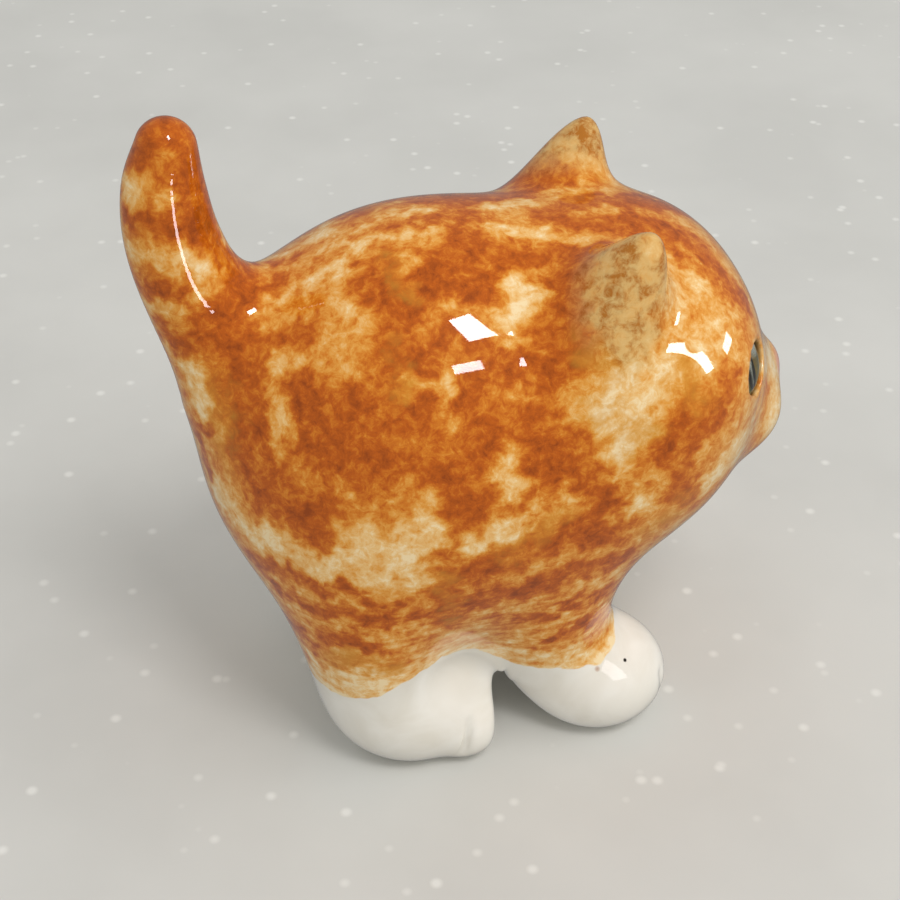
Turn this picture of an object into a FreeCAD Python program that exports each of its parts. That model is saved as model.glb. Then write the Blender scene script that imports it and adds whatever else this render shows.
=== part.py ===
import FreeCAD, Part
import math
import os

# A standing kitten, slip-cast and glazed, with glass eyes. Millimetres, +Z up, +X is the way
# the nose points, +Y is the cat's left. The origin is on the shelf, under the middle.

# Modelled forms of the clay: (x, z) of the middle, then half-length, half-width, half-height.
TRUNK_AT = (-6.5, 50.0)
TRUNK_HALF = (34.5, 29.2, 34.0)
HEAD_AT = (19.5, 55.5)
HEAD_HALF = (23.5, 25.5, 26.5)
HEAD_NOD = 6.5

# Forms on the head: forward, sideways and up from its middle, as shares of its half sizes.
MUZZLE_PLACE = (0.787, 0.0, -0.208)
MUZZLE_HALF = (9.0, 11.8, 10.8)
BROW_PLACE = (0.191, 0.451, 0.321)
BROW_HALF = (11.5, 11.0, 9.5)
EAR_PLACE = (-0.289, 0.518, 0.453)
EYE_PLACE = (0.0, 0.169, 0.136)
NECK_PLACE = (-0.83, 0.0, 0.925)

# Legs: along the trunk and out from the centre plane as shares of its half sizes, middle height.
HAUNCH_PLACE = (-0.348, 0.411, 26.0)
HAUNCH_HALF = (10.5, 13.0, 24.0)
FORELEG_PLACE = (0.435, 0.387, 25.0)
FORELEG_HALF = (10.0, 11.0, 19.0)

# Paws: ahead of the leg's middle, further out than it, and middle height.
REAR_PAW_STEP = (6.7, 2.6, 7.4)
REAR_PAW_HALF = (11.2, 11.0, 9.4)
FRONT_PAW_STEP = (9.3, 2.9, 6.9)
FRONT_PAW_HALF = (10.8, 10.2, 8.6)

# How far each form is smoothed into its neighbour.
HEAD_BLEND = 18.0
MUZZLE_BLEND = 7.5
BROW_BLEND = 12.0
LEG_BLEND = 16.5

# Ears: an upright cone with a rounded tip, thinner front to back than it is wide. The rise is
# how far forward, out and up the tip is from the root.
EAR_RISE = (7.8, 3.8, 20.9)
EAR_TIP_SPREAD = 7.6
EAR_ROOT_SPREAD = 3.8
EAR_THINNESS = 0.84

# Tail: (x, z) from the rearmost point of the trunk, and radius, of each round section from
# inside the rump up to the tip.
TAIL_LINE = (
    (15.0, 10.0, 13.0),
    (8.0, 14.6, 9.2),
    (2.4, 25.0, 7.2),
    (-0.2, 34.5, 6.5),
    (-0.7, 42.2, 5.6),
    (0.2, 48.5, 4.1),
)

# Casting: shell wall, how far the seam at the neck leans back, the drain hole.
WALL = 3.2
NECK_SEAM_LEAN = 21.8
DRAIN_DIA = 5.0
DRAIN_X = -4.5

# Eyes: a domed glass pushed in from inside the head against a lip, a painted disc behind it
# and a bed of putty. The eye's axis starts at its place inside the head.
EYE_TURN = 32.0
EYE_LIFT = 13.0
SOCKET_DIA = 8.6
LIP = 1.4
SEAT_DIA = 11.0
SEAT_CLEARANCE = 0.15
GLASS_EDGE = 1.2
GLASS_DOME = 1.1
DOME_CLEARANCE = 0.3
IRIS_THICK = 0.5
PUTTY_SPREAD = 1.25
PUTTY_THICK = 2.6

# How finely the smooth skins are drawn.
RINGS = 28
RING_POINTS = 32
EAR_RINGS = 12
EAR_POINTS = 16
TAIL_POINTS = 12
BISECTIONS = 24
BIG = 200.0


def ellipsoid(p, middle, half, nod=0.0):
    """Signed distance, close to true, from p to an ellipsoid; nod tips it nose down."""
    dx, dy, dz = p[0] - middle[0], p[1] - middle[1], p[2] - middle[2]
    if nod:
        c, s = math.cos(math.radians(nod)), math.sin(math.radians(nod))
        dx, dz = dx * c - dz * s, dx * s + dz * c
    k0 = math.sqrt((dx / half[0]) ** 2 + (dy / half[1]) ** 2 + (dz / half[2]) ** 2)
    k1 = math.sqrt((dx / half[0] ** 2) ** 2 + (dy / half[1] ** 2) ** 2 + (dz / half[2] ** 2) ** 2)
    return k0 * (k0 - 1.0) / max(k1, 1e-9)


def blend(a, b, width):
    h = max(width - abs(a - b), 0.0) / width
    return min(a, b) - h ** 3 * width / 6.0


def on_head(place):
    """A place on the left side of the head, from its shares of the head's half sizes."""
    return (
        HEAD_AT[0] + place[0] * HEAD_HALF[0],
        place[1] * HEAD_HALF[1],
        HEAD_AT[1] + place[2] * HEAD_HALF[2],
    )


def leg_middle(place):
    """The middle of a left leg, from its shares of the trunk's half sizes and its height."""
    return (TRUNK_AT[0] + place[0] * TRUNK_HALF[0], place[1] * TRUNK_HALF[1], place[2])


def paw_middle(leg, step):
    middle = leg_middle(leg)
    return (middle[0] + step[0], middle[1] + step[1], step[2])


def core(p):
    """Trunk, head and muzzle."""
    d = ellipsoid(p, (TRUNK_AT[0], 0.0, TRUNK_AT[1]), TRUNK_HALF)
    d = blend(d, ellipsoid(p, (HEAD_AT[0], 0.0, HEAD_AT[1]), HEAD_HALF, HEAD_NOD), HEAD_BLEND)
    return blend(d, ellipsoid(p, on_head(MUZZLE_PLACE), MUZZLE_HALF), MUZZLE_BLEND)


def clay(p):
    """The whole cast form without ears, tail and toes; p folds onto one side of the centre."""
    side = (p[0], abs(p[1]), p[2])
    d = blend(core(p), ellipsoid(side, on_head(BROW_PLACE), BROW_HALF), BROW_BLEND)
    d = blend(d, ellipsoid(side, leg_middle(HAUNCH_PLACE), HAUNCH_HALF), LEG_BLEND)
    return blend(d, ellipsoid(side, leg_middle(FORELEG_PLACE), FORELEG_HALF), LEG_BLEND)


def ear_form(p):
    """The left ear: round about the line from its root to its tip, squeezed along X."""
    root = on_head(EAR_PLACE)
    away = [p[i] - root[i] for i in range(3)]
    t = sum(EAR_RISE[i] * away[i] for i in range(3)) / sum(v * v for v in EAR_RISE)
    t = min(max(t, 0.0), 1.0)
    off = [away[i] - t * EAR_RISE[i] for i in range(3)]
    squeeze = EAR_THINNESS + (1.0 - EAR_THINNESS) * t
    radius = EAR_TIP_SPREAD * math.sqrt(1.0 - t) + EAR_ROOT_SPREAD * (1.0 - t)
    return math.sqrt((off[0] / squeeze) ** 2 + off[1] ** 2 + off[2] ** 2) - radius


def reach(form, depth, start, direction, far):
    """How far along direction the surface lying depth inside form is met, going outward."""
    step = far / 60.0
    near = 0.0
    r = step
    while r < far:
        p = tuple(start[i] + direction[i] * r for i in range(3))
        if form(p) > -depth:
            break
        near = r
        r += step
    for _ in range(BISECTIONS):
        mid = (near + r) / 2.0
        p = tuple(start[i] + direction[i] * mid for i in range(3))
        if form(p) > -depth:
            r = mid
        else:
            near = mid
    return near


def ring(points):
    curve = Part.BSplineCurve()
    curve.interpolate(Points=[FreeCAD.Vector(*p) for p in points], PeriodicFlag=True)
    return Part.Wire(curve.toShape())


def skin(form, depth, axis_z, middle_x):
    """A closed solid through cross-sections of form, drawn depth inside its surface."""
    back = middle_x - reach(form, depth, (middle_x, 0.0, axis_z), (-1.0, 0.0, 0.0), 60.0)
    front = middle_x + reach(form, depth, (middle_x, 0.0, axis_z), (1.0, 0.0, 0.0), 70.0)
    rings = [Part.Vertex(back, 0.0, axis_z)]
    for i in range(1, RINGS):
        x = back + (front - back) * (1.0 - math.cos(math.pi * i / RINGS)) / 2.0
        points = []
        for j in range(RING_POINTS):
            # Points crowd toward the underside, where the four legs are.
            turn = 2.0 * j / RING_POINTS - 1.0
            angle = math.copysign(math.pi * abs(turn) ** 1.5, turn)
            direction = (0.0, math.sin(angle), -math.cos(angle))
            r = reach(form, depth, (x, 0.0, axis_z), direction, 70.0)
            points.append((x, direction[1] * r, axis_z + direction[2] * r))
        rings.append(ring(points))
    rings.append(Part.Vertex(front, 0.0, axis_z))
    return Part.makeLoft(rings, True, False)


def ear_solid():
    """The left ear as a loft of level rings, from its root to the top of its rounded tip."""
    root = on_head(EAR_PLACE)
    rings = []
    for i in range(EAR_RINGS):
        # Rings crowd toward the tip, where the ear rounds over.
        share = math.sin(math.pi / 2.0 * i / EAR_RINGS)
        middle = [root[k] + EAR_RISE[k] * share for k in range(3)]
        points = []
        for j in range(EAR_POINTS):
            angle = 2.0 * math.pi * j / EAR_POINTS
            direction = (math.cos(angle), math.sin(angle), 0.0)
            r = reach(ear_form, 0.0, middle, direction, 20.0)
            points.append((middle[0] + direction[0] * r, middle[1] + direction[1] * r, middle[2]))
        rings.append(ring(points))
    rings.append(Part.Vertex(*[root[k] + EAR_RISE[k] for k in range(3)]))
    return Part.makeLoft(rings, True, False)


def round_ring(middle, along, radius):
    """A round section square to along, which lies in the centre plane."""
    across = FreeCAD.Vector(0.0, 1.0, 0.0)
    upright = along.cross(across)
    points = []
    for j in range(TAIL_POINTS):
        angle = 2.0 * math.pi * j / TAIL_POINTS
        points.append(middle + across * (radius * math.cos(angle)) + upright * (radius * math.sin(angle)))
    return ring(points)


def tail_solid():
    """Round sections along the tail's line, closed by a dome at the tip."""
    rump = FreeCAD.Vector(TRUNK_AT[0] - TRUNK_HALF[0], 0.0, TRUNK_AT[1])
    places = [rump + FreeCAD.Vector(x, 0.0, z) for x, z, _ in TAIL_LINE]
    rings = []
    for i, (_, _, radius) in enumerate(TAIL_LINE):
        along = places[min(i + 1, len(places) - 1)] - places[max(i - 1, 0)]
        along.normalize()
        rings.append(round_ring(places[i], along, radius))
    for degrees in (35.0, 65.0):
        a = math.radians(degrees)
        rings.append(round_ring(places[-1] + along * (radius * math.sin(a)), along, radius * math.cos(a)))
    rings.append(Part.Vertex(places[-1] + along * radius))
    return Part.makeLoft(rings, True, False)


def in_front_of(at, lean):
    """A big block in front of the upright plane through at, leant back by lean degrees."""
    block = Part.makeBox(BIG, BIG, BIG, FreeCAD.Vector(0.0, -BIG / 2.0, -BIG / 2.0))
    block.rotate(FreeCAD.Vector(0, 0, 0), FreeCAD.Vector(0, 1, 0), -lean)
    block.translate(FreeCAD.Vector(*at))
    return block


def egg(middle, half):
    """A true ellipsoid."""
    grow = FreeCAD.Matrix()
    grow.scale(half[0], half[1], half[2])
    solid = Part.makeSphere(1.0).transformGeometry(grow)
    solid.translate(FreeCAD.Vector(*middle))
    return solid


def mirrored(shape):
    return shape.mirror(FreeCAD.Vector(0, 0, 0), FreeCAD.Vector(0, 1, 0))


def biggest(shape):
    return max(shape.Solids, key=lambda s: s.Volume)


def rod(start, along, diameter, near, far):
    """A cylinder about the line from start, from near to far along it."""
    return Part.makeCylinder(diameter / 2.0, far - near, start + along * near, along)


def glass_button(back, outward):
    """The eye glass, turned about its axis: a flat back at that place, a thin edge and a dome."""
    rim = SEAT_DIA / 2.0 - SEAT_CLEARANCE
    half = SOCKET_DIA / 2.0 - DOME_CLEARANCE
    radius = (half ** 2 + GLASS_DOME ** 2) / (2.0 * GLASS_DOME)
    top = GLASS_EDGE + GLASS_DOME
    middle = math.asin(half / radius) / 2.0
    on_dome = FreeCAD.Vector(radius * math.sin(middle), 0.0, top - radius + radius * math.cos(middle))
    corners = [
        FreeCAD.Vector(half, 0.0, GLASS_EDGE),
        FreeCAD.Vector(rim, 0.0, GLASS_EDGE),
        FreeCAD.Vector(rim, 0.0, 0.0),
        FreeCAD.Vector(0.0, 0.0, 0.0),
        FreeCAD.Vector(0.0, 0.0, top),
    ]
    edges = [Part.makeLine(corners[i], corners[i + 1]) for i in range(4)]
    edges.append(Part.Arc(corners[4], on_dome, corners[0]).toShape())
    turned = Part.Face(Part.Wire(edges)).revolve(FreeCAD.Vector(0, 0, 0), FreeCAD.Vector(0, 0, 1), 360)
    turned.Placement = FreeCAD.Placement(back, FreeCAD.Rotation(FreeCAD.Vector(0, 0, 1), outward))
    return turned


def eye_stack():
    """Left eye: the bore to cut in the head, then the glass, the painted disc and the putty."""
    turn = math.radians(EYE_TURN)
    lift = math.radians(EYE_LIFT)
    along = (
        math.cos(lift) * math.cos(turn),
        math.cos(lift) * math.sin(turn),
        math.sin(lift),
    )
    inside = on_head(EYE_PLACE)
    surface = reach(clay, 0.0, inside, along, 60.0)
    inward = FreeCAD.Vector(*along) * -1.0
    start = FreeCAD.Vector(*inside) - inward * surface
    bore_end = LIP + GLASS_EDGE + IRIS_THICK + PUTTY_THICK
    bore = rod(start, inward, SOCKET_DIA, -WALL, LIP + GLASS_EDGE)
    bore = bore.fuse(rod(start, inward, SEAT_DIA, LIP, bore_end))
    loose = SEAT_DIA - 2.0 * SEAT_CLEARANCE
    glass = glass_button(start + inward * (LIP + GLASS_EDGE), FreeCAD.Vector(*along))
    disc_start = LIP + GLASS_EDGE
    disc = rod(start, inward, loose, disc_start, disc_start + IRIS_THICK)
    putty = rod(start, inward, SEAT_DIA + 2.0 * PUTTY_SPREAD, disc_start + IRIS_THICK - WALL, bore_end)
    putty = putty.cut(rod(start, inward, SEAT_DIA, -WALL, disc_start + IRIS_THICK))
    return bore, glass, disc, putty


def build():
    """Every piece of the kitten, by name."""
    shelf = Part.makeBox(BIG, BIG, BIG, FreeCAD.Vector(-BIG / 2.0, -BIG / 2.0, -BIG))
    outer = skin(clay, 0.0, TRUNK_AT[1], TRUNK_AT[0])
    hollow = skin(core, WALL, TRUNK_AT[1], TRUNK_AT[0])
    head_side = in_front_of(on_head(NECK_PLACE), NECK_SEAM_LEAN)
    drain = Part.makeCylinder(DRAIN_DIA / 2.0, TRUNK_AT[1], FreeCAD.Vector(DRAIN_X, 0.0, 0.0))
    bore, glass, disc, putty = eye_stack()
    pieces = {}
    pieces["body_shell"] = biggest(outer.cut(head_side).cut(hollow).cut(drain))
    head = biggest(outer.common(head_side).cut(hollow).cut([bore, mirrored(bore)]))
    pieces["head_shell"] = head
    pieces["tail"] = biggest(tail_solid().cut(outer))

    # What follows is made for the left side and mirrored for the right.
    rear_paw = egg(paw_middle(HAUNCH_PLACE, REAR_PAW_STEP), REAR_PAW_HALF)
    front_paw = egg(paw_middle(FORELEG_PLACE, FRONT_PAW_STEP), FRONT_PAW_HALF)
    for name, piece in (
        ("ear", biggest(ear_solid().cut(outer))),
        ("rear_paw", biggest(rear_paw.cut(shelf).cut(outer))),
        ("front_paw", biggest(front_paw.cut(shelf).cut(outer))),
        ("eye_glass", glass),
        ("eye_disc", disc),
        ("eye_putty", biggest(putty.cut(head))),
    ):
        pieces["left_" + name] = piece
        pieces["right_" + name] = mirrored(piece)
    return pieces


os.makedirs("parts", exist_ok=True)
for name, piece in build().items():
    piece.exportStep("parts/" + name + ".step")
    print(name, "volume", round(piece.Volume), "valid", piece.isValid(), "solids", len(piece.Solids))
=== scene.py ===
import math

import bmesh
import bpy
import numpy as np
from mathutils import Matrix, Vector


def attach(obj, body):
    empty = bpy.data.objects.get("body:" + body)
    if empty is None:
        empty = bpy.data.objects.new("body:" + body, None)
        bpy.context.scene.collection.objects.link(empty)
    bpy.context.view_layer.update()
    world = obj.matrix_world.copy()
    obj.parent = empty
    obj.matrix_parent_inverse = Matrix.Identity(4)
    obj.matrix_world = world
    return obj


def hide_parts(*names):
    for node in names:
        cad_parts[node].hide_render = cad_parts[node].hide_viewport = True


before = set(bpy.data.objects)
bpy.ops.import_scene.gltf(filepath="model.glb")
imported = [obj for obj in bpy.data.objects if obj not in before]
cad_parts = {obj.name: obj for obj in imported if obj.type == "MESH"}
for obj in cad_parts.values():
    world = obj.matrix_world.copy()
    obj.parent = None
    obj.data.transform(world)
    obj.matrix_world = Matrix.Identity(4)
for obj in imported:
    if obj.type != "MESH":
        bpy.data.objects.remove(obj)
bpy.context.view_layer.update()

mm = 0.001

# The modelled clay: middle, then half-length, half-width and half-height, in millimetres.
# Forms with a sideways place come in pairs, left and right.
clayForms = {
    "trunk": ((-6.5, 0, 50), (34.5, 29.2, 34)),
    "head": ((19.5, 0, 55.5), (23.5, 25.5, 26.5)), "headNod": 6.5,
    "muzzle": ((38, 0, 50), (9, 11.8, 10.8)),
    "brow": ((24, 11.5, 64), (11.5, 11, 9.5)),
    "haunch": ((-18.5, 12, 26), (10.5, 13, 24)),
    "foreleg": ((8.5, 11.3, 25), (10, 11, 19)),
    "rearPaw": ((-11.8, 14.6, 7.4), (11.2, 11, 9.4)),
    "rearToe": ((-5.2, 19.2, 5.1), (6, 6.2, 5.6)),
    "frontPaw": ((17.8, 14.2, 6.9), (10.8, 10.2, 8.6)),
    "whiskerPad": ((41, 4.6, 48.8), (4.9, 5.2, 4.6)),
    "chin": ((40.6, 0, 43.4), (3.8, 4.6, 3)),
    "nose": ((44.9, 0, 54), (2, 2.8, 2.2)),
    "arch": ((1, 0, 1.5), (1.6, 60, 11)),  # the gap between front and rear paws, cut right through
    # how widely each form melts into its neighbour
    "headBlend": 18, "muzzleBlend": 7.5, "browBlend": 12, "legBlend": 16.5, "pawBlend": 13,
    "smallBlend": 4, "toeBlend": 3, "archBlend": 3,
}
ears = {
    "root": (12.7, 13.2, 67.5), "tip": (20.5, 17.0, 88.4), "tipSpread": 7.6, "rootSpread": 3.8,
    "thinness": 0.84, "blend": 7,  # thinness: front to back as a share of side to side, at the root
    "paleFrom": 1.6, "paleOver": 3.5,  # height above the head where the pale glaze starts and fills
}
tail = {
    # x, z and radius where the tail bends, rump to tip
    "line": ((-33, 63.7, 8.8), (-38.6, 75, 7.2), (-41.2, 84.5, 6.5), (-41.7, 92.2, 5.6),
             (-40.8, 98.5, 4.1)),
    "steps": 8, "rootBlend": 14,
    "middle": -38, "rump": 60,
    "frontEnd": -12, "lowEnd": 42, "clear": 11,  # ahead of and below these, the tail is this far off
}
eyes = {
    # the eye looks along a line that starts inside the head; turn and lift are in degrees
    "from": (19.4, 4.3, 59.1), "turn": 32, "lift": 13,
    "openHalfWidth": 4.4, "openHalfHeight": 3.7, "depth": 3.3, "lidRound": 0.9,
    "shadeFrom": 0.25, "shadeOver": 0.8,  # how deep the painted shade inside the opening starts and deepens
}
grooves = {
    # lines pressed into the clay: ends, then radius
    "mouth": (((47.3, 0, 52), (47.0, 0, 48.2), 0.45), ((47.0, 0, 48.2), (46.7, 2.2, 46.8), 0.45),
              ((46.7, 2.2, 46.8), (46.5, 4.4, 46.8), 0.45), ((46.5, 4.4, 46.8), (46.4, 6.0, 48.0), 0.4)),
    "toes": (((-5.0, 24.6, 9.5), (-7.4, 26.0, 0), 0.4), ((1.2, 12.6, 11), (1.4, 12.4, 0), 0.8),
             ((28.8, 12.2, 10), (29.6, 12.0, 0), 0.8), ((27.4, 19.6, 9), (28.4, 20.4, 0), 0.7)),
    "softness": 1.6,
    "mouthLine": 0.55, "mouthInk": 0.7,  # half-width and strength of the painted mouth line
}
drain = {"x": -4.5, "radius": 2.5, "top": 30, "edge": 0.6}


def eggField(p, egg, nod=0):
    # distance, close to true, to an ellipsoid
    q = p - np.array(egg[0], np.float32)
    if nod:
        c, s = math.cos(math.radians(nod)), math.sin(math.radians(nod))
        q = np.stack([q[:, 0] * c - q[:, 2] * s, q[:, 1], q[:, 0] * s + q[:, 2] * c], 1)
    half = np.array(egg[1], np.float32)
    k0 = np.linalg.norm(q / half, axis=1)
    k1 = np.linalg.norm(q / half ** 2, axis=1)
    return k0 * (k0 - 1) / np.maximum(k1, 1e-9)


def rodField(p, a, b, ra, rb):
    # a rod with round ends, tapering from ra to rb
    a, b = np.array(a, np.float32), np.array(b, np.float32)
    t = np.clip((p - a) @ (b - a) / ((b - a) @ (b - a)), 0, 1)
    return np.linalg.norm(p - a - t[:, None] * (b - a), axis=1) - (ra + (rb - ra) * t)


def softJoin(a, b, width):
    h = np.maximum(width - np.abs(a - b), 0) / width
    return np.minimum(a, b) - h ** 3 * width / 6


def softCut(a, cutter, width):
    return -softJoin(-a, cutter, width)


def oneSide(p):
    q = p.copy()
    q[:, 1] = np.abs(q[:, 1])
    return q


def coreField(p):
    f, side = clayForms, oneSide(p)
    d = softJoin(eggField(p, f["trunk"]), eggField(p, f["head"], f["headNod"]), f["headBlend"])
    d = softJoin(d, eggField(p, f["muzzle"]), f["muzzleBlend"])
    d = softJoin(d, eggField(side, f["brow"]), f["browBlend"])
    d = softJoin(d, eggField(side, f["haunch"]), f["legBlend"])
    d = softJoin(d, eggField(side, f["foreleg"]), f["legBlend"])
    for name in ("whiskerPad", "chin", "nose"):
        d = softJoin(d, eggField(side, f[name]), f["smallBlend"])
    return d


def pawField(p):
    f, side = clayForms, oneSide(p)
    rear = softJoin(eggField(side, f["rearPaw"]), eggField(side, f["rearToe"]), f["toeBlend"])
    return np.minimum(rear, eggField(side, f["frontPaw"]))


def earField(p):
    # a cone with a rounded tip about the line from root to tip, squeezed front to back
    side = oneSide(p)
    root, tip = np.array(ears["root"], np.float32), np.array(ears["tip"], np.float32)
    along = np.linalg.norm(tip - root)
    t = (side - root) @ (tip - root) / along ** 2
    off = side - root - np.clip(t, -0.2, 1)[:, None] * (tip - root)
    squeeze = ears["thinness"] + (1 - ears["thinness"]) * np.clip(t, 0, 1)
    left = np.clip(1 - t, 0, 1.2)
    left -= np.maximum(left - 0.8, 0) ** 2 / 0.8  # eases to an even width just below the root
    radius = ears["tipSpread"] * np.sqrt(left) + ears["rootSpread"] * left
    steep = 0.5 * ears["tipSpread"] / np.sqrt(np.maximum(left, 0.02)) / along
    distance = np.sqrt((off[:, 0] / squeeze) ** 2 + off[:, 1] ** 2 + off[:, 2] ** 2)
    # 0.85 keeps the reading a little under the true distance, as the squeeze stretches it
    return (distance - radius) * 0.85 / np.sqrt(1 + steep ** 2)


def tailPath():
    # places along a smooth curve through the tail's bends
    line = np.array(tail["line"], float)
    ends = np.concatenate([[2 * line[0] - line[1]], line, [2 * line[-1] - line[-2]]])
    places = []
    for i in range(len(line) - 1):
        p0, p1, p2, p3 = ends[i:i + 4]
        for t in np.arange(tail["steps"]) / tail["steps"]:
            curve = 2 * p1 + (p2 - p0) * t + (2 * p0 - 5 * p1 + 4 * p2 - p3) * t ** 2
            places.append(0.5 * (curve + (3 * p1 - p0 - 3 * p2 + p3) * t ** 3))
    return places + [line[-1]]


def tailField(p):
    # true near the tail; a rough distance from its middle line does further off
    d = np.hypot(p[:, 0] - tail["middle"], p[:, 1]) + 1
    d += np.maximum(tail["rump"] - p[:, 2], 0)
    near = (p[:, 0] < tail["frontEnd"]) & (p[:, 2] > tail["lowEnd"])
    q = p[near]
    best = np.full(len(q), 1e3, np.float32)
    places = tailPath()
    for a, b in zip(places[:-1], places[1:]):
        best = np.minimum(best, rodField(q, (a[0], 0, a[1]), (b[0], 0, b[1]), a[2], b[2]))
    d[near] = best
    d[~near] = np.maximum(d[~near], tail["clear"])
    return d


def eyeAxes():
    # middle of the left eye's opening on the skin, its outward axis, and across and up
    turn, lift = math.radians(eyes["turn"]), math.radians(eyes["lift"])
    out = np.array((math.cos(lift) * math.cos(turn), math.cos(lift) * math.sin(turn), math.sin(lift)))
    start = np.array(eyes["from"])
    near, far = 0.0, 60.0
    for _ in range(30):
        middle = (near + far) / 2
        if coreField(np.array([start + out * middle], np.float32))[0] > 0:
            far = middle
        else:
            near = middle
    across = np.cross((0, 0, 1), out)
    across /= np.linalg.norm(across)
    return start + out * near, out, across, np.cross(out, across)


def clayField(p):
    f = clayForms
    d = softJoin(coreField(p), pawField(p), f["pawBlend"])
    d = softJoin(d, earField(p), ears["blend"])
    d = softJoin(d, tailField(p), tail["rootBlend"])
    d = softCut(d, eggField(p, f["arch"]), f["archBlend"])
    side = oneSide(p)
    for a, b, radius in grooves["mouth"] + grooves["toes"]:
        d = softCut(d, rodField(side, a, b, radius, radius), grooves["softness"])
    # eye openings: an almond pocket sunk along the eye's axis
    middle, out, across, up = eyeMiddle
    q = side - middle.astype(np.float32)
    u, v, w = q @ across.astype(np.float32), q @ up.astype(np.float32), q @ out.astype(np.float32)
    almond = np.sqrt((u / eyes["openHalfWidth"]) ** 2 + (v / eyes["openHalfHeight"]) ** 2)
    pocket = np.maximum((almond - 1) * eyes["openHalfHeight"], -w - eyes["depth"])
    d = softCut(d, pocket, eyes["lidRound"])
    bore = np.hypot(p[:, 0] - drain["x"], p[:, 1]) - drain["radius"]
    hole = np.maximum(bore, p[:, 2] - drain["top"])
    d = softCut(d, hole, drain["edge"])
    return np.maximum(d, -p[:, 2])  # the soles are rubbed flat


eyeMiddle = eyeAxes()


def claySlope(p):
    # how the field rises around each point, from four readings a tenth of a millimetre off
    e = 0.1
    total = np.zeros_like(p)
    for corner in ((1, -1, -1), (-1, -1, 1), (-1, 1, -1), (1, 1, 1)):
        step = np.array(corner, np.float32)
        total += step * clayField(p + step * e)[:, None]
    return total / (4 * e)


def clayNormals(p):
    slope = claySlope(p)
    return slope / np.maximum(np.linalg.norm(slope, axis=1), 1e-9)[:, None]


def ontoSkin(p):
    slope = claySlope(p)
    steep = np.maximum(np.sum(slope * slope, 1), 0.2)
    return p - slope * (clayField(p) / steep)[:, None]


def gridReadings(low, counts, step):
    # the field on a grid: coarse everywhere, then fine only near the skin
    coarse = 4
    few = [n // coarse + 2 for n in counts]
    axes = [low[i] + np.arange(few[i]) * step * coarse for i in range(3)]
    points = np.stack(np.meshgrid(*axes, indexing="ij"), -1).reshape(-1, 3).astype(np.float32)
    rough = clayField(points).reshape(few)
    values = rough.repeat(coarse, 0).repeat(coarse, 1).repeat(coarse, 2)
    values = values[: counts[0], : counts[1], : counts[2]].copy()
    near = np.argwhere(np.abs(values) < step * coarse * 1.9)
    points = (near * step + np.array(low)).astype(np.float32)
    for start in range(0, len(near), 200000):
        part = slice(start, start + 200000)
        values[tuple(near[part].T)] = clayField(points[part])
    return values


def netFromReadings(values, low, step):
    # one vertex per cell that the skin passes through, and one quad per grid edge it crosses
    inside = values < 0
    shape = [n - 1 for n in values.shape]
    total, hits = np.zeros(shape + [3], np.float32), np.zeros(shape, np.float32)
    quads = []
    crossings = []
    for axis in range(3):
        a = [slice(None)] * 3
        b = [slice(None)] * 3
        a[axis], b[axis] = slice(0, -1), slice(1, None)
        va, vb = values[tuple(a)], values[tuple(b)]
        cross = inside[tuple(a)] != inside[tuple(b)]
        where = np.argwhere(cross)
        share = va[cross] / (va[cross] - vb[cross])
        spot = where.astype(np.float32)
        spot[:, axis] += share
        others = [k for k in range(3) if k != axis]
        for di in (0, -1):
            for dj in (0, -1):
                cell = where.copy()
                cell[:, others[0]] += di
                cell[:, others[1]] += dj
                ok = np.all((cell >= 0) & (cell < shape), 1)
                np.add.at(total, tuple(cell[ok].T), spot[ok])
                np.add.at(hits, tuple(cell[ok].T), 1)
        crossings.append((axis, others, where, inside[tuple(a)][cross]))
    used = hits > 0
    index = -np.ones(shape, np.int64)
    index[used] = np.arange(used.sum())
    points = total[used] / hits[used][:, None] * step + np.array(low, np.float32)
    for axis, others, where, goesOut in crossings:
        corners = []
        for di, dj in ((0, 0), (-1, 0), (-1, -1), (0, -1)):
            cell = where.copy()
            cell[:, others[0]] += di
            cell[:, others[1]] += dj
            corners.append(index[tuple(cell.T)])
        quad = np.stack(corners, 1)
        flip = goesOut if axis != 1 else ~goesOut
        quad[~flip] = quad[~flip][:, ::-1]
        quads.append(quad)
    return points, np.concatenate(quads)


def relaxed(points, quads, rounds):
    # evens out the net, pulling each vertex back onto the skin every time
    edges = np.concatenate([quads[:, [i, (i + 1) % 4]] for i in range(4)])
    edges = np.concatenate([edges, edges[:, ::-1]])
    count = np.bincount(edges[:, 0], minlength=len(points))[:, None]
    for _ in range(rounds):
        sums = [np.bincount(edges[:, 0], points[edges[:, 1], k], len(points)) for k in range(3)]
        middle = np.stack(sums, 1) / count
        normals = clayNormals(points)
        move = (middle - points).astype(np.float32)
        move -= normals * np.sum(move * normals, 1)[:, None]
        points = ontoSkin(points + move * 0.5)
    return ontoSkin(ontoSkin(points))


net = {"step": 0.6, "low": (-49.0, -31.0, -1.2), "high": (50, 31, 105), "relaxing": 3}


def skinMesh():
    low, step = list(net["low"]), net["step"]
    counts = [int((h - l) / step) for l, h in zip(low, net["high"])]
    points, quads = netFromReadings(gridReadings(low, counts, step), low, step)
    points = relaxed(points, quads, net["relaxing"])
    bm = bmesh.new()
    verts = [bm.verts.new(p) for p in points.tolist()]
    for quad in quads.tolist():
        bm.faces.new([verts[i] for i in quad])
    bm.normal_update()
    return bm


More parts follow.
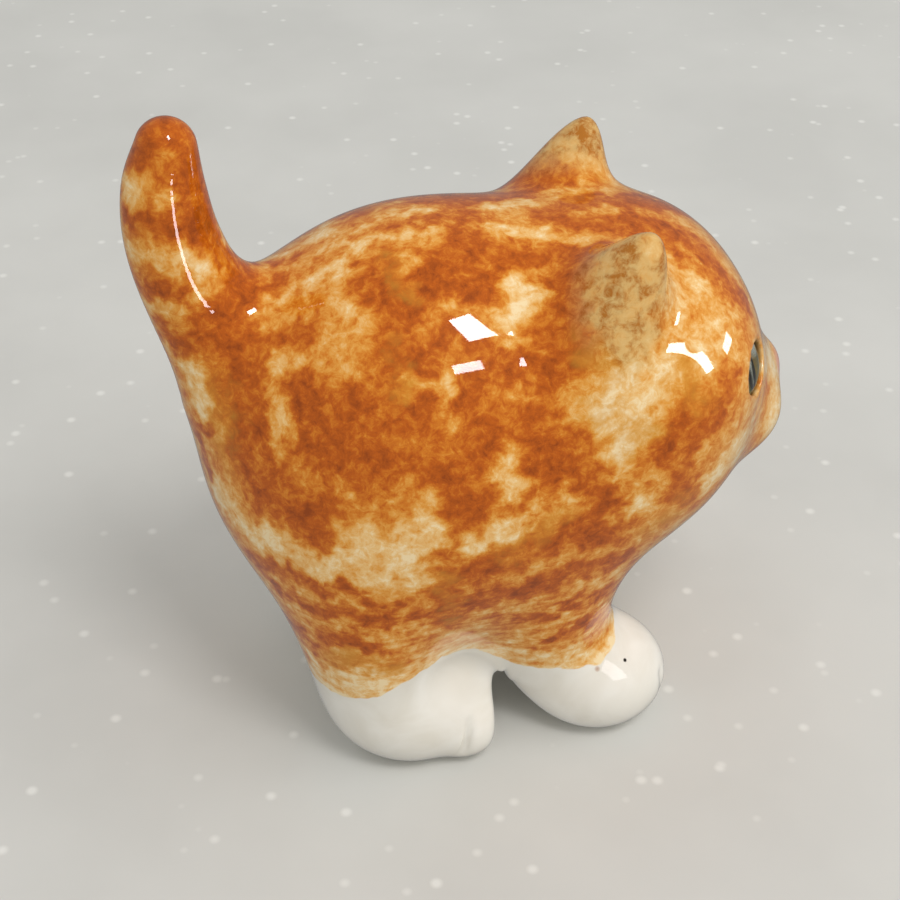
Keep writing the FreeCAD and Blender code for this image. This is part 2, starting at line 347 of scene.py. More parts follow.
def cutAlong(bm, rule):
    # cuts the skin where rule changes sign, so that both sides share the new edges
    bm.verts.ensure_lookup_table()
    values = rule(np.array([v.co[:] for v in bm.verts], np.float32))
    sign = {v: float(x) if abs(x) > 1e-4 else 1e-4 for v, x in zip(bm.verts, values)}
    fresh = []
    for edge in [e for e in bm.edges if (sign[e.verts[0]] > 0) != (sign[e.verts[1]] > 0)]:
        a, b = edge.verts
        share = sign[a] / (sign[a] - sign[b])
        fresh.append(bmesh.utils.edge_split(edge, a, share)[1])
    bmesh.ops.connect_verts(bm, verts=fresh)
    bm.faces.ensure_lookup_table()
    middles = np.array([f.calc_center_median()[:] for f in bm.faces], np.float32)
    return rule(middles) > 0


seams = {
    # the neck seam leans by so many degrees and passes through this x and z
    "neckThrough": (0, 80), "neckLean": 21.8,
    "betweenPaws": 4,  # an x that lies between the front and the rear paws
    # inside each seam a skirt of clay turns in, and a cap closes the piece below it
    "skirt": 1.5, "capDepth": 5,
}


def ontoDepth(place, depth):
    # moves a point inward until it lies at least depth under the skin
    p = np.array([place], np.float32)
    for _ in range(6):
        short = np.maximum(clayField(p) + depth, 0)
        p = p - clayNormals(p) * short[:, None]
    return p[0].tolist()


def neckRule(p):
    lean = math.radians(seams["neckLean"])
    x, z = seams["neckThrough"]
    return (p[:, 0] - x) * math.cos(lean) + (p[:, 2] - z) * math.sin(lean)


def earRule(p):
    return softJoin(coreField(p), tailField(p), 1) - earField(p)


def tailRule(p):
    return coreField(p) - tailField(p)


def pawRule(p):
    return coreField(p) - pawField(p)


pieceNames = ["body_shell", "head_shell", "left_ear", "right_ear", "tail",
              "left_front_paw", "right_front_paw", "left_rear_paw", "right_rear_paw"]


def pieceAt(kind, place):
    # the name of the piece that a face of the head, an ear, the tail or a paw belongs to
    side = "left" if place.y > 0 else "right"
    if kind == "ear":
        return side + "_ear"
    if kind == "paw":
        return side + ("_front_paw" if place.x > seams["betweenPaws"] else "_rear_paw")
    return kind


def namePieces(bm):
    # writes on each face of the skin the number of its piece
    labels = bm.faces.layers.int.new("piece")
    for kind, rule in (("head_shell", neckRule), ("ear", earRule), ("tail", tailRule), ("paw", pawRule)):
        for face, chosen in zip(bm.faces, cutAlong(bm, rule)):
            if chosen:
                face[labels] = pieceNames.index(pieceAt(kind, face.calc_center_median()))


# Brush strokes of coloured glaze, laid alike on both sides: half-width, then the places that
# the brush passes, as x, distance from the middle and z.
strokes = {
    "rust": (
        (4.5, (-41, 2, 101), (-39, 3, 100)), (2.5, (-45, 4, 90), (-38, 4, 90)),
        (2, (-45, 5, 81), (-42, 7, 82)),
        (2.5, (-42, 6, 74), (-37, 8, 75), (-33, 6, 78)), (1, (-36, 2, 91), (-35, 3, 83), (-32, 1, 80)),
        (1, (-29, 3, 78), (-19, 3, 81), (-10, 4, 84), (3, 4, 83)),
        (1, (-16, 0, 83), (-9, 0, 84), (1, 0, 84)),
        (1, (7, 10, 81), (14, 9, 82)), (1.5, (11, 1, 83), (21, 3, 82), (30, 5, 79), (37, 11, 72)),
        (1, (21, 6, 82), (27, 8, 80), (31, 12, 76)), (2.5, (-5, 6, 83), (1, 6, 83), (5, 8, 82)),
        (2.5, (-7, 11, 82), (-3, 12, 81)), (2.5, (-16, 9, 81), (-14, 15, 78), (-13, 20, 74), (-12, 22, 72)),
        (2.5, (-24, 9, 77), (-29, 10, 74), (-34, 10, 71)),
        (3, (-34, 13, 66), (-34, 15, 60), (-32, 20, 55), (-26, 24, 54)),
        (4, (-22, 16, 74), (-22, 21, 69), (-19, 24, 64)), (3.5, (-27, 18, 67), (-22, 24, 63), (-14, 25, 66)),
        (2.5, (-5, 23, 71), (-3, 26, 65), (-8, 28, 60), (-6, 29, 55)), (2, (-13, 27, 61), (-16, 28, 56)),
        (2.5, (9, 17, 79), (7, 21, 75), (8, 23, 71)), (1.5, (16, 9, 83), (11, 14, 82), (9, 17, 79)),
        (2.5, (-5, 19, 75), (1, 21, 74)), (3, (4, 26, 65), (9, 27, 59), (13, 27, 55), (4, 28, 54)),
        (2.5, (21, 26, 58), (26, 25, 64), (30, 23, 66)), (2, (20, 26, 54), (26, 24, 50)),
        (2, (-4, 29, 44), (4, 28, 48), (14, 27, 47)), (1.5, (-6, 27, 37), (3, 27, 39), (16, 24, 39)),
        (1, (1, 25, 30), (9, 25, 31), (17, 22, 32)), (1, (7, 25, 24), (13, 24, 25), (17, 22, 26)),
        (1.5, (-10, 29, 49), (-9, 28, 41), (-9, 27, 34)),
        (1, (-36, 13, 39), (-29, 22, 42), (-21, 27, 41), (-13, 27, 35)),
        (1, (-33, 17, 36), (-26, 24, 37), (-19, 27, 36)), (1, (-31, 16, 27), (-24, 25, 31), (-19, 27, 30)),
        (1, (-28, 20, 26), (-27, 21, 23)), (1, (-41, 8, 61), (-40, 7, 51)),
    ),
    "cream": (
        (1.4, (-46, 3, 94), (-43, 5, 94)), (2.2, (-46, 5, 85), (-41, 6, 85)),
        (1.5, (-44, 6, 77), (-42, 6, 77)),
        (2.5, (-22, 6, 80), (-27, 7, 77)), (2.5, (-21, 13, 77), (-21, 16, 74)),
        (1.5, (-29, 13, 71), (-28, 13, 72)), (1, (-31, 15, 67), (-29, 19, 63)),
        (1.5, (-19, 3, 81), (-12, 2, 84), (-7, 3, 84)), (2.5, (-13, 28, 56), (-17, 28, 50), (-13, 29, 46)),
        (2, (-22, 26, 52), (-20, 27, 46)), (1.5, (3, 13, 80), (4, 16, 78), (2, 18, 76)),
        (1.5, (-38, 12, 48), (-34, 17, 46), (-26, 25, 46), (-19, 28, 45)), (1.5, (-41, 7, 68), (-40, 8, 64)),
        (1.5, (-39, 10, 50), (-38, 12, 46)), (1.5, (-6, 29, 50), (0, 29, 52)),
        (3, (11, 25, 69), (16, 25, 70)),
        (2, (16, 26, 63), (19, 27, 52)), (2, (6, 28, 54), (4, 28, 53)), (1.5, (-1, 27, 62), (0, 28, 58)),
        (1.5, (29, 18, 40), (25, 19, 34)), (2, (36, 18, 54), (31, 22, 51)),
        (1.5, (39, 11, 62), (43, 5, 59)), (2.5, (44, 8, 49), (45, 6, 57)),
        (2, (-27, 20, 21), (-19, 26, 21)), (1.5, (3, 24, 20), (17, 21, 16)),
        (1, (-28, 15, 11), (-16, 26, 19)),
        (1, (-13, 21, 72), (-9, 22, 72)), (1, (2, 2, 83), (8, 5, 83)),
    ),
    "ear": (
        (3, (15, 20, 82), (16, 22, 78)),
    ),
    "light": (
        (4.5, (27, 16, 76), (27, 21, 72)), (2.5, (29, 22, 69), (23, 24, 68)),
    ),
    "ochre": (
        (1.5, (-37, 11, 67), (-38, 11, 60), (-37, 13, 56)), (1, (-14, 18, 76), (-14, 22, 71)),
        (1, (-14, 6, 82), (-11, 13, 80)), (2, (12, 26, 67), (17, 26, 63)), (1, (-9, 29, 45), (-9, 27, 34)),
        (1.5, (-1, 29, 47), (5, 28, 51)), (2, (23, 23, 71), (26, 24, 68)),
        (1.5, (-25, 24, 26), (-17, 27, 26)),
        (1, (23, 16, 85), (22, 10, 82)), (2, (11, 22, 75), (13, 24, 73)), (1.5, (21, 24, 44), (26, 24, 50)),
    ),
    "pink": (
        (1.5, (46, 0, 54), (46, 2, 54)),
    ),
}
# How high the white of the socks comes, from the heel of the rear leg to the front leg.
socks = {
    "x": (-30, -24, -19, -14, -9, -3, 1, 4, 9, 16, 19, 22),
    "height": (16, 17, 18.5, 21, 22.5, 20.5, 17.5, 16, 16, 14.7, 16.5, 21),
    "softness": 0.8, "waver": 0.25, "fringe": 5,  # fringe: the cream band above the white
}


brush = {
    # how far a stroke spreads past its half-width, and how gradually it fades there
    "spread": 1.15, "edge": 0.9,
    # the hand's wavering: wavelengths and heights in millimetres
    "waver": ((11.0, 0.8), (4.7, 0.6), (2.3, 0.4)),
}


def wobble(p):
    # makes the strokes' edges uneven
    total = np.zeros_like(p)
    for wave, height in brush["waver"]:
        q = p * (2 * math.pi / wave)
        total[:, 0] += height * np.sin(q[:, 1] + 1.7 * np.sin(q[:, 2] * 0.7))
        total[:, 1] += height * np.sin(q[:, 2] + 1.3 * np.sin(q[:, 0] * 0.8))
        total[:, 2] += height * np.sin(q[:, 0] + 1.9 * np.sin(q[:, 1] * 0.6))
    return total


def strokeCover(side, group):
    cover = np.zeros(len(side), np.float32)
    for width, *line in strokes[group]:
        for a, b in zip(line[:-1], line[1:]):
            away = rodField(side, a, b, 0, 0) / (width * brush["spread"])
            cover = np.maximum(cover, np.clip((1 + brush["edge"] - away) / brush["edge"], 0, 1))
    return cover


def paintedEyeShadeAndMouthInk(p):
    # painted shade inside each eye opening, darker the deeper a place lies down in it, and the painted ink
    # along the line of the mouth
    side = oneSide(p)
    middle, out, across, up = eyeMiddle
    q = side - middle.astype(np.float32)
    near = np.hypot(q @ across.astype(np.float32), q @ up.astype(np.float32)) < eyes["openHalfWidth"] * 1.5
    # painted shade: the deeper inside the eye opening, the darker the clay is coloured
    sunk = np.clip((-coreField(p) - eyes["shadeFrom"]) / eyes["shadeOver"], 0, 1)
    shade = np.where(near, sunk, 0)
    for a, b, _ in grooves["mouth"]:
        line = np.clip(2 - rodField(side, a, b, 0, 0) / grooves["mouthLine"], 0, 1)
        shade = np.maximum(shade, grooves["mouthInk"] * line)
    return shade


def paintOn(mesh, p):
    # leaves the cover of each colour on the mesh, for the glaze to read
    plain = oneSide(p)
    side = plain + wobble(p)
    waver = socks["waver"] * wobble(p)[:, 2]
    above = p[:, 2] - np.interp(plain[:, 0], socks["x"], socks["height"]) - waver
    white = np.clip(0.5 - above / socks["softness"], 0, 1)
    fringe = np.clip(1 - above / socks["fringe"], 0, 1)
    standing = np.clip((coreField(p) - ears["paleFrom"]) / ears["paleOver"], 0, 1)
    standing *= (p[:, 0] > 5) & (p[:, 2] > 70)  # the ears, not the tail or the paws
    cream = np.maximum(strokeCover(side, "cream"), fringe)
    # the fourth cover of the first attribute is painted shade in the eye openings, together with the ink of
    # the mouth line
    first = (strokeCover(side, "rust") * (1 - fringe), cream, strokeCover(side, "ochre"), paintedEyeShadeAndMouthInk(p))
    ear = np.maximum(strokeCover(side, "ear"), standing)
    second = (strokeCover(side, "light"), ear, white, strokeCover(plain, "pink"))
    for name, covers in (("paint", first), ("paintMore", second)):
        values = np.stack(covers, 1).astype(np.float32)
        mesh.attributes.new(name, "FLOAT_COLOR", "POINT").data.foreach_set("color", values.ravel())


def makePiece(bm, name):
    # one closed piece: its share of the skin, shut inside by a cap at the seam
    part = bm.copy()
    labels = part.faces.layers.int["piece"]
    number = pieceNames.index(name)
    bmesh.ops.delete(part, geom=[f for f in part.faces if f[labels] != number], context="FACES")
    for face in part.faces:
        face.smooth = True
    outside = set(part.faces)
    rim = [e for e in part.edges if e.is_boundary]
    skirt = bmesh.ops.extrude_edge_only(part, edges=rim)["geom"]
    sunk = [g for g in skirt if isinstance(g, bmesh.types.BMVert)]
    places = np.array([v.co[:] for v in sunk], np.float32)
    for vert, place in zip(sunk, places - clayNormals(places) * seams["skirt"]):
        vert.co = place
    inner = [g for g in skirt if isinstance(g, bmesh.types.BMEdge) and g.is_boundary]
    made = bmesh.ops.edgeloop_fill(part, edges=inner)
    poked = bmesh.ops.poke(part, faces=made["faces"])
    for vert in poked["verts"]:
        vert.co = Vector(ontoDepth(vert.co[:], seams["capDepth"]))
    for face in part.faces:
        face.smooth = face in outside
    bmesh.ops.recalc_face_normals(part, faces=part.faces)
    mesh = bpy.data.meshes.new(name + "_skin")
    part.to_mesh(mesh)
    part.free()
    co = np.zeros(len(mesh.vertices) * 3, np.float32)
    mesh.vertices.foreach_get("co", co)
    normals = clayNormals(co.reshape(-1, 3))
    corner = np.zeros(len(mesh.loops), np.int32)
    mesh.loops.foreach_get("vertex_index", corner)
    split = normals[corner]
    for poly in mesh.polygons:
        if not poly.use_smooth:
            split[list(poly.loop_indices)] = poly.normal[:]
    paintOn(mesh, co.reshape(-1, 3))
    mesh.vertices.foreach_set("co", co * mm)
    mesh.normals_split_custom_set(split.tolist())
    mesh.update()
    obj = bpy.data.objects.new(name + "_form", mesh)
    bpy.context.scene.collection.objects.link(obj)
    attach(obj, "root")
    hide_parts(name)
    return obj


print("clay skin and its pieces")
skin = skinMesh()
namePieces(skin)
clayPieces = {name: makePiece(skin, name) for name in pieceNames}
skin.free()


def srgb(hexColour):
    # an sRGB hex colour as linear red, green and blue
    values = [int(hexColour[i:i + 2], 16) / 255 for i in (1, 3, 5)]
    return [v / 12.92 if v <= 0.04045 else ((v + 0.055) / 1.055) ** 2.4 for v in values] + [1]


def newMaterial(name):
    material = bpy.data.materials.new(name)
    material.use_nodes = True
    material.node_tree.nodes.clear()
    return material


def addNode(material, kind, settings=None, **links):
    # A node with its settings. Links join its inputs to other sockets or set their values, by name
    # or by number as i0, i1 and so on. "stops" are the places and colours of a colour ramp.
    node = material.node_tree.nodes.new(kind)
    for key, value in (settings or {}).items():
        if key == "stops":
            elements = node.color_ramp.elements
            while len(elements) < len(value):
                elements.new(0.5)
            for element, (place, colour) in zip(elements, value):
                element.position, element.color = place, srgb(colour)
        else:
            setattr(node, key, value)
    for key, value in links.items():
        numbered = key[0] == "i" and key[1:].isdigit()
        socket = node.inputs[int(key[1:]) if numbered else key.replace("_", " ")]
        if isinstance(value, bpy.types.NodeSocket):
            material.node_tree.links.new(value, socket)
        else:
            socket.default_value = value
    return node


def sumOf(material, *terms):
    # adds sockets up, each times its own number; a bare number is added as it is
    total = 0.0
    for term in terms:
        socket, times = term if isinstance(term, tuple) else (float(term), 1.0)
        settings = {"operation": "MULTIPLY_ADD"}
        total = addNode(material, "ShaderNodeMath", settings, i0=socket, i1=times, i2=total).outputs[0]
    return total


overlay = {"data_type": "RGBA"}  # a Mix node that lays one colour (input 7) over another (input 6)


glaze = {
    # sizes of the sponge's and the brush's marks, in millimetres
    "spongeMark": 1.5, "dabMark": 3.6, "washMark": 9.0,
    # the brush left streaks round the legs: their length and width, and the heights between
    # which they set in
    "streakMark": (5.0, 1.3), "streaksBelow": (44, 34),
    "rippleSize": 7.0, "rippleHeight": 0.02,
    # how much each stroke and each kind of mark darkens or lightens the colour
    "rust": 0.31, "cream": -0.3, "light": -0.14,
    "sponge": 1.0, "dab": 0.95, "wash": 0.3, "streak": 0.9, "plainTone": 0.44,
    "tones": ((0.0, "#f8dfb0"), (0.2, "#f0c27c"), (0.4, "#e59f42"),
              (0.56, "#d67d1e"), (0.74, "#bf5c0a"), (1.0, "#964203")),
    "ochre": "#d0902c", "earTones": ((0.35, "#d6b271"), (0.75, "#b37023")),
    # socket: the dark of the painted shade inside the eye openings, also the ink of the mouth line
    "socket": "#2b150b", "pink": "#d9a08c", "whites": ((0.3, "#e9e4d8"), (0.7, "#f7f4ec")),
    # bare spots in the white: place and radius in millimetres, and the colour that shows
    "pinholes": (((20.3, -20.3, 14), 0.3, "#1c1611"), ((15.6, -22.1, 14.6), 0.6, "#a8672f")),
}


def glazedEarthenware(name):
    # earthenware under coloured glazes sponged and brushed wet into each other, then a clear
    # glaze: soft ragged patches of colour below, and sharp window reflections on top
    m = newMaterial(name)
    where = addNode(m, "ShaderNodeTexCoord").outputs["Object"]
    first = addNode(m, "ShaderNodeAttribute", {"attribute_name": "paint"})
    second = addNode(m, "ShaderNodeAttribute", {"attribute_name": "paintMore"})
    rust, cream, ochre = addNode(m, "ShaderNodeSeparateColor", Color=first.outputs["Color"]).outputs
    light, ear, white = addNode(m, "ShaderNodeSeparateColor", Color=second.outputs["Color"]).outputs

    sponge = addNode(m, "ShaderNodeTexNoise", Vector=where, Scale=1 / (glaze["spongeMark"] * mm),
                     Detail=5, Roughness=0.7, Distortion=0.5).outputs[0]
    dab = addNode(m, "ShaderNodeTexNoise", Vector=where, Scale=1 / (glaze["dabMark"] * mm),
                  Detail=6, Roughness=0.66, Distortion=0.5).outputs[0]
    wash = addNode(m, "ShaderNodeTexNoise", Vector=where, Scale=1 / (glaze["washMark"] * mm),
                   Detail=3, Distortion=0.6).outputs[0]
    long, narrow = glaze["streakMark"]
    stretched = addNode(m, "ShaderNodeVectorMath", {"operation": "MULTIPLY"},
                        i0=where, i1=(narrow / long, narrow / long, 1.0))
    streak = addNode(m, "ShaderNodeTexNoise", Vector=stretched.outputs[0], Scale=1 / (narrow * mm),
                     Detail=4, Distortion=0.3).outputs[0]
    height = addNode(m, "ShaderNodeSeparateXYZ", Vector=where).outputs[2]
    top, full = glaze["streaksBelow"]
    legs = addNode(m, "ShaderNodeMapRange", Value=height, From_Min=top * mm, From_Max=full * mm)
    streaks = addNode(m, "ShaderNodeMath", {"operation": "MULTIPLY"},
                      i0=legs.outputs[0], i1=sumOf(m, (streak, 1.0), -0.5))

    # each noise is 0.5 on average, so that half of its share is taken off again
    evenly = glaze["plainTone"] - (glaze["sponge"] + glaze["dab"] + glaze["wash"]) / 2
    tone = sumOf(m, (rust, glaze["rust"]), (cream, glaze["cream"]), (light, glaze["light"]),
                 (sponge, glaze["sponge"]), (dab, glaze["dab"]), (wash, glaze["wash"]),
                 (streaks.outputs[0], glaze["streak"]), evenly)
    colour = addNode(m, "ShaderNodeValToRGB", {"stops": glaze["tones"]}, i0=tone).outputs[0]
    patchy = {"operation": "MULTIPLY", "use_clamp": True}
    ochreShare = addNode(m, "ShaderNodeMath", patchy, i0=ochre, i1=sumOf(m, (dab, 2.0), -0.75))
    colour = addNode(m, "ShaderNodeMix", overlay,
                     i0=ochreShare.outputs[0], i6=colour, i7=srgb(glaze["ochre"])).outputs[2]
    speck = sumOf(m, (sponge, 1.5), (dab, 1.9), -1.25)
    earColour = addNode(m, "ShaderNodeValToRGB", {"stops": glaze["earTones"]}, i0=speck).outputs[0]
    earShare = addNode(m, "ShaderNodeMath", patchy, i0=ear, i1=sumOf(m, (dab, 2.6), -0.5))
    colour = addNode(m, "ShaderNodeMix", overlay,
                     i0=earShare.outputs[0], i6=colour, i7=earColour).outputs[2]
    # the pink of the nose, then the socket dark: painted shade in the eye openings and the ink of the mouth
    for share, laid in ((second.outputs["Alpha"], "pink"), (first.outputs["Alpha"], "socket")):
        colour = addNode(m, "ShaderNodeMix", overlay, i0=share, i6=colour, i7=srgb(glaze[laid])).outputs[2]

    whites = addNode(m, "ShaderNodeValToRGB", {"stops": glaze["whites"]}, i0=wash).outputs[0]
    for spot, radius, bare in glaze["pinholes"]:
        away = addNode(m, "ShaderNodeVectorMath", {"operation": "DISTANCE"},
                       i0=where, i1=tuple(v * mm for v in spot))
        inSpot = addNode(m, "ShaderNodeMapRange", Value=away.outputs[1],
                         From_Min=radius * 1.3 * mm, From_Max=radius * 0.7 * mm)
        whites = addNode(m, "ShaderNodeMix", overlay,
                         i0=inSpot.outputs[0], i6=whites, i7=srgb(bare)).outputs[2]
    ragged = sumOf(m, (white, 1.0), (dab, 0.5), -0.25)
    sockEdge = addNode(m, "ShaderNodeMapRange", Value=ragged, From_Min=0.35, From_Max=0.65)
    colour = addNode(m, "ShaderNodeMix", overlay,
                     i0=sockEdge.outputs[0], i6=colour, i7=whites).outputs[2]

    ripple = addNode(m, "ShaderNodeTexNoise", Vector=where, Scale=1 / (glaze["rippleSize"] * mm), Detail=1)
    bump = addNode(m, "ShaderNodeBump", Strength=0.5, Distance=glaze["rippleHeight"] * mm,
                   Height=ripple.outputs[0])
    shader = addNode(m, "ShaderNodeBsdfPrincipled", Base_Color=colour, Roughness=0.5, IOR=1.5,
                     Specular_IOR_Level=0.05, Coat_Weight=1.0, Coat_Roughness=0.03, Coat_IOR=1.5,
                     Coat_Normal=bump.outputs[0])
    addNode(m, "ShaderNodeOutputMaterial", Surface=shader.outputs[0])
    return m


print("glazes")
ginger = glazedEarthenware("ginger glaze on earthenware")
sock = glazedEarthenware("white glaze on earthenware")
for name, obj in clayPieces.items():
    obj.data.materials.append(sock if "paw" in name else ginger)

eyeFinish = {
    "gold": "#d6a640", "green": "#7d8838", "rim": "#3a3114", "pupil": "#0b0806",
    "pupilHalfWidth": 1.0, "pupilHalfHeight": 3.4,
    "ray": 0.1167,  # a ray's width as a share of its distance from the middle
    "glass": "#eef2e6", "mouldMark": 2.5, "mouldHeight": 0.02,
    "puttyTones": ((0.35, "#8f826b"), (0.65, "#b5a98f")), "puttyLump": 1.8, "puttyHeight": 0.2,
}


def eyeGlass():
    # clear glass pressed in a mould: smooth, with a faint unevenness that blurs what is behind
    m = newMaterial("pressed clear glass")
    where = addNode(m, "ShaderNodeTexCoord").outputs["Object"]
    uneven = addNode(m, "ShaderNodeTexNoise", Vector=where, Scale=1 / (eyeFinish["mouldMark"] * mm), Detail=2)
    rough = addNode(m, "ShaderNodeMapRange", Value=uneven.outputs[0], To_Min=0.01, To_Max=0.05)
    bump = addNode(m, "ShaderNodeBump", Strength=0.3, Distance=eyeFinish["mouldHeight"] * mm,
                   Height=uneven.outputs[0])
    shader = addNode(m, "ShaderNodeBsdfPrincipled", Base_Color=srgb(eyeFinish["glass"]),
                     Roughness=rough.outputs[0], IOR=1.5, Transmission_Weight=1.0, Normal=bump.outputs[0])
    addNode(m, "ShaderNodeOutputMaterial", Surface=shader.outputs[0])
    return m


def eyeDisc(name, mirror):
    # enamel painted on a disc behind the glass: a slit pupil in a gold and green iris
    middle, out, across, up = [np.array(v) * (1, mirror, 1) for v in eyeMiddle]
    m = newMaterial(name)
    where = addNode(m, "ShaderNodeTexCoord").outputs["Object"]
    away = addNode(m, "ShaderNodeVectorMath", {"operation": "SUBTRACT"}, i0=where, i1=tuple(middle * mm))
    sideways, upwards = [addNode(m, "ShaderNodeVectorMath", {"operation": "DOT_PRODUCT"},
                                 i0=away.outputs[0], i1=tuple(axis)).outputs[1] for axis in (across, up)]
    # the same place in millimetres on the flat of the disc
    flat = addNode(m, "ShaderNodeCombineXYZ", X=sumOf(m, (sideways, 1 / mm)), Y=sumOf(m, (upwards, 1 / mm)))
    radius = addNode(m, "ShaderNodeVectorMath", {"operation": "LENGTH"}, i0=flat.outputs[0]).outputs[1]
    outward = addNode(m, "ShaderNodeVectorMath", {"operation": "NORMALIZE"}, i0=flat.outputs[0]).outputs[0]
    rays = addNode(m, "ShaderNodeTexNoise", Vector=outward, Scale=1 / eyeFinish["ray"], Detail=3)
    shade = sumOf(m, (radius, 0.2), (rays.outputs[0], 0.5), -0.3)
    stops = ((0.1, eyeFinish["gold"]), (0.55, eyeFinish["green"]), (0.9, eyeFinish["rim"]))
    iris = addNode(m, "ShaderNodeValToRGB", {"stops": stops}, i0=shade).outputs[0]
    slim = addNode(m, "ShaderNodeCombineXYZ",
                   X=sumOf(m, (sideways, 1 / (eyeFinish["pupilHalfWidth"] * mm))),
                   Y=sumOf(m, (upwards, 1 / (eyeFinish["pupilHalfHeight"] * mm))))
    slit = addNode(m, "ShaderNodeVectorMath", {"operation": "LENGTH"}, i0=slim.outputs[0]).outputs[1]
    outside = addNode(m, "ShaderNodeMapRange", Value=slit, From_Min=0.9, From_Max=1.05)
    colour = addNode(m, "ShaderNodeMix", overlay,
                     i0=outside.outputs[0], i6=srgb(eyeFinish["pupil"]), i7=iris).outputs[2]
    shader = addNode(m, "ShaderNodeBsdfPrincipled", Base_Color=colour, Roughness=0.35)
    addNode(m, "ShaderNodeOutputMaterial", Surface=shader.outputs[0])
    return m


def settingPutty():
    # whiting putty thumbed in from behind: chalky and matt, with soft lumps
    m = newMaterial("whiting putty")
    where = addNode(m, "ShaderNodeTexCoord").outputs["Object"]
    lumps = addNode(m, "ShaderNodeTexNoise", Vector=where, Scale=1 / (eyeFinish["puttyLump"] * mm), Detail=4)
    colour = addNode(m, "ShaderNodeValToRGB", {"stops": eyeFinish["puttyTones"]}, i0=lumps.outputs[0])
    bump = addNode(m, "ShaderNodeBump", Strength=0.6, Distance=eyeFinish["puttyHeight"] * mm,
                   Height=lumps.outputs[0])
    shader = addNode(m, "ShaderNodeBsdfPrincipled", Base_Color=colour.outputs[0], Roughness=0.9,
                     Normal=bump.outputs[0])
    addNode(m, "ShaderNodeOutputMaterial", Surface=shader.outputs[0])
    return m


print("eyes")
glass, putty = eyeGlass(), settingPutty()
for side, mirror in (("left", 1), ("right", -1)):
    enamel = eyeDisc(side + " eye enamel", mirror)
    for piece, material in (("eye_glass", glass), ("eye_disc", enamel), ("eye_putty", putty)):
        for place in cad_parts[side + "_" + piece].material_slots:
            place.material = material

worktop = {
    "tones": ((0.35, "#cdcdc9"), (0.65, "#d4d4d0")), "chip": "#e3e3df",
    # the size of a cloud and the spacing of the chips in millimetres; a chip's middle and edge are
    # shares of that spacing
    "cloud": 45, "chipSpacing": 7, "chipMiddle": 0.06, "chipEdge": 0.16,
    "reach": 3.0,  # metres from the middle to each side
}


def quartzWorktop():
    # honed quartz: almost even, with faint clouds and a few paler chips of stone
    m = newMaterial("honed quartz worktop")
    where = addNode(m, "ShaderNodeTexCoord").outputs["Object"]
    cloud = addNode(m, "ShaderNodeTexNoise", Vector=where, Scale=1 / (worktop["cloud"] * mm), Detail=5)
    base = addNode(m, "ShaderNodeValToRGB", {"stops": worktop["tones"]}, i0=cloud.outputs[0]).outputs[0]
    chips = addNode(m, "ShaderNodeTexVoronoi", Vector=where, Scale=1 / (worktop["chipSpacing"] * mm),
                    Randomness=1.0)
    isChip = addNode(m, "ShaderNodeMapRange", Value=chips.outputs["Distance"],
                     From_Min=worktop["chipEdge"], From_Max=worktop["chipMiddle"])
    base = addNode(m, "ShaderNodeMix", overlay,
                   i0=isChip.outputs[0], i6=base, i7=srgb(worktop["chip"])).outputs[2]
    shader = addNode(m, "ShaderNodeBsdfPrincipled", Base_Color=base, Roughness=0.55)
    addNode(m, "ShaderNodeOutputMaterial", Surface=shader.outputs[0])
    return m


print("worktop, camera and lights")
floorMesh = bpy.data.meshes.new("floor")
r = worktop["reach"]
floorMesh.from_pydata([(-r, -r, 0), (r, -r, 0), (r, r, 0), (-r, r, 0)], [], [(0, 1, 2, 3)])
floorMesh.materials.append(quartzWorktop())
floor = bpy.data.objects.new("floor", floorMesh)
bpy.context.scene.collection.objects.link(floor)
# the worktop stays out of the glaze, as its white haze would cover the colours of the lower coat
floor.visible_glossy = False

# degrees round the cat and above the worktop, then millimetres
camera = {
    "azimuth": -11, "elevation": 38, "distance": 260, "target": (-3.45, 0, 43.45),
    "lens": 68.4, "sensor": 36,
}
azimuth, elevation = math.radians(camera["azimuth"]), math.radians(camera["elevation"])
back = Vector((math.sin(azimuth) * math.cos(elevation), -math.cos(azimuth) * math.cos(elevation),
               math.sin(elevation)))
cam = bpy.data.objects.new("camera", bpy.data.cameras.new("camera"))
cam.data.lens = camera["lens"]
cam.data.sensor_width = camera["sensor"]
cam.data.clip_start = 0.01
cam.location = (Vector(camera["target"]) + back * camera["distance"]) * mm
cam.rotation_euler = back.to_track_quat("Z", "Y").to_euler()
bpy.context.scene.collection.objects.link(cam)
bpy.context.scene.camera = cam

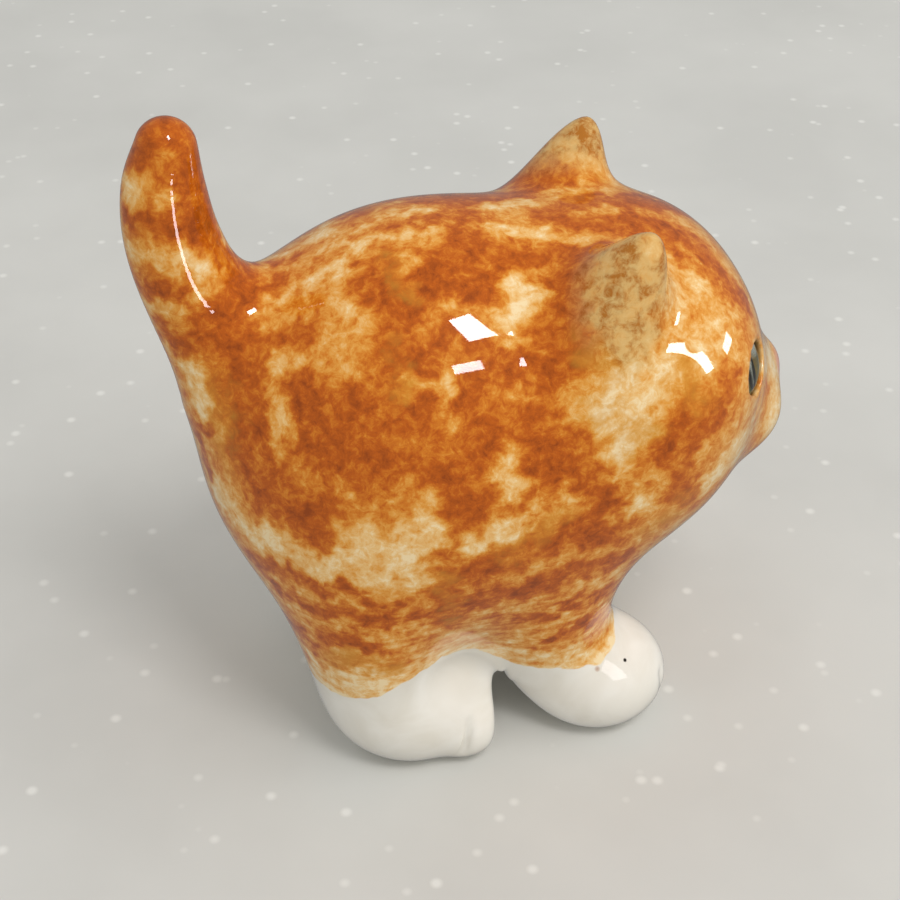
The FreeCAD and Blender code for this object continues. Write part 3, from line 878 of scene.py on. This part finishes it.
lights = {
    # name, direction, distance, width and height in metres, watts and colour
    "window light": ((0.19, -0.425, 0.885), 1.2, (0.3, 0.3), 3.8, "#fffcfa"),
    "soft light": ((0.75, -0.35, 0.7), 2.2, (1.6, 1.6), 11.5, "#fffdfa"),
}
glints = {
    # the same, then the pieces whose glaze shows it
    "window": ((0.19, -0.41, 0.89), 1.2, (0.14, 0.27), 3.2, "#fff8fc", ("body_shell", "tail")),
    "window over the sink": ((0.15, -0.69, 0.7), 1.2, (0.17, 0.09), 1.0, "#fff8fc", ("body_shell",)),
    "pane by the eye": ((0.785, -0.49, 0.37), 1.2, (0.17, 0.3), 3.4, "#fff8fc", ("head_shell",)),
    "pane over the eye": ((0.96, -0.06, 0.27), 1.2, (0.26, 0.14), 1.8, "#fff8fc", ("head_shell",)),
    "pane along the tail": ((0.27, -0.9, -0.25), 1.2, (0.13, 0.6), 3.4, "#fff8fc", ("tail",)),
    "pane by the paws": ((0.55, -0.7, 0.45), 1.2, (0.4, 0.34), 1.6, "#fff8fc",
                         ("right_front_paw", "right_rear_paw")),
}
room = {"colour": "#fffffd", "strength": 0.66, "inTheGlaze": 0.26}


def addWindow(name, direction, distance, size, power, colour):
    light = bpy.data.lights.new(name, "AREA")
    light.shape = "RECTANGLE"
    light.size, light.size_y = size
    light.energy = power
    light.color = srgb(colour)[:3]
    obj = bpy.data.objects.new(name, light)
    way = Vector(direction).normalized()
    obj.location = way * distance
    obj.rotation_euler = way.to_track_quat("Z", "Y").to_euler()
    bpy.context.scene.collection.objects.link(obj)
    return obj


for name, settings in lights.items():
    # lights the clay and the worktop, and leaves the glaze to the glints
    addWindow(name, *settings).visible_glossy = False
for name, (*settings, shownIn) in glints.items():
    # a catch light: it glints in the glaze of its pieces and lights nothing else
    pane = addWindow(name, *settings)
    pane.visible_diffuse = False
    pane.light_linking.receiver_collection = bpy.data.collections.new(name)
    for piece in shownIn:
        pane.light_linking.receiver_collection.objects.link(clayPieces[piece])

world = bpy.data.worlds.new("room")
world.use_nodes = True
tree = world.node_tree
background = tree.nodes["Background"]
background.inputs["Color"].default_value = srgb(room["colour"])
# the room is dimmer in the glaze's reflections than its soft light on the clay
path = tree.nodes.new("ShaderNodeLightPath")
strength = tree.nodes.new("ShaderNodeMix")
strength.inputs[2].default_value, strength.inputs[3].default_value = room["strength"], room["inTheGlaze"]
tree.links.new(path.outputs["Is Glossy Ray"], strength.inputs[0])
tree.links.new(strength.outputs[0], background.inputs["Strength"])
bpy.context.scene.world = world
bpy.context.scene.view_settings.view_transform = "Standard"
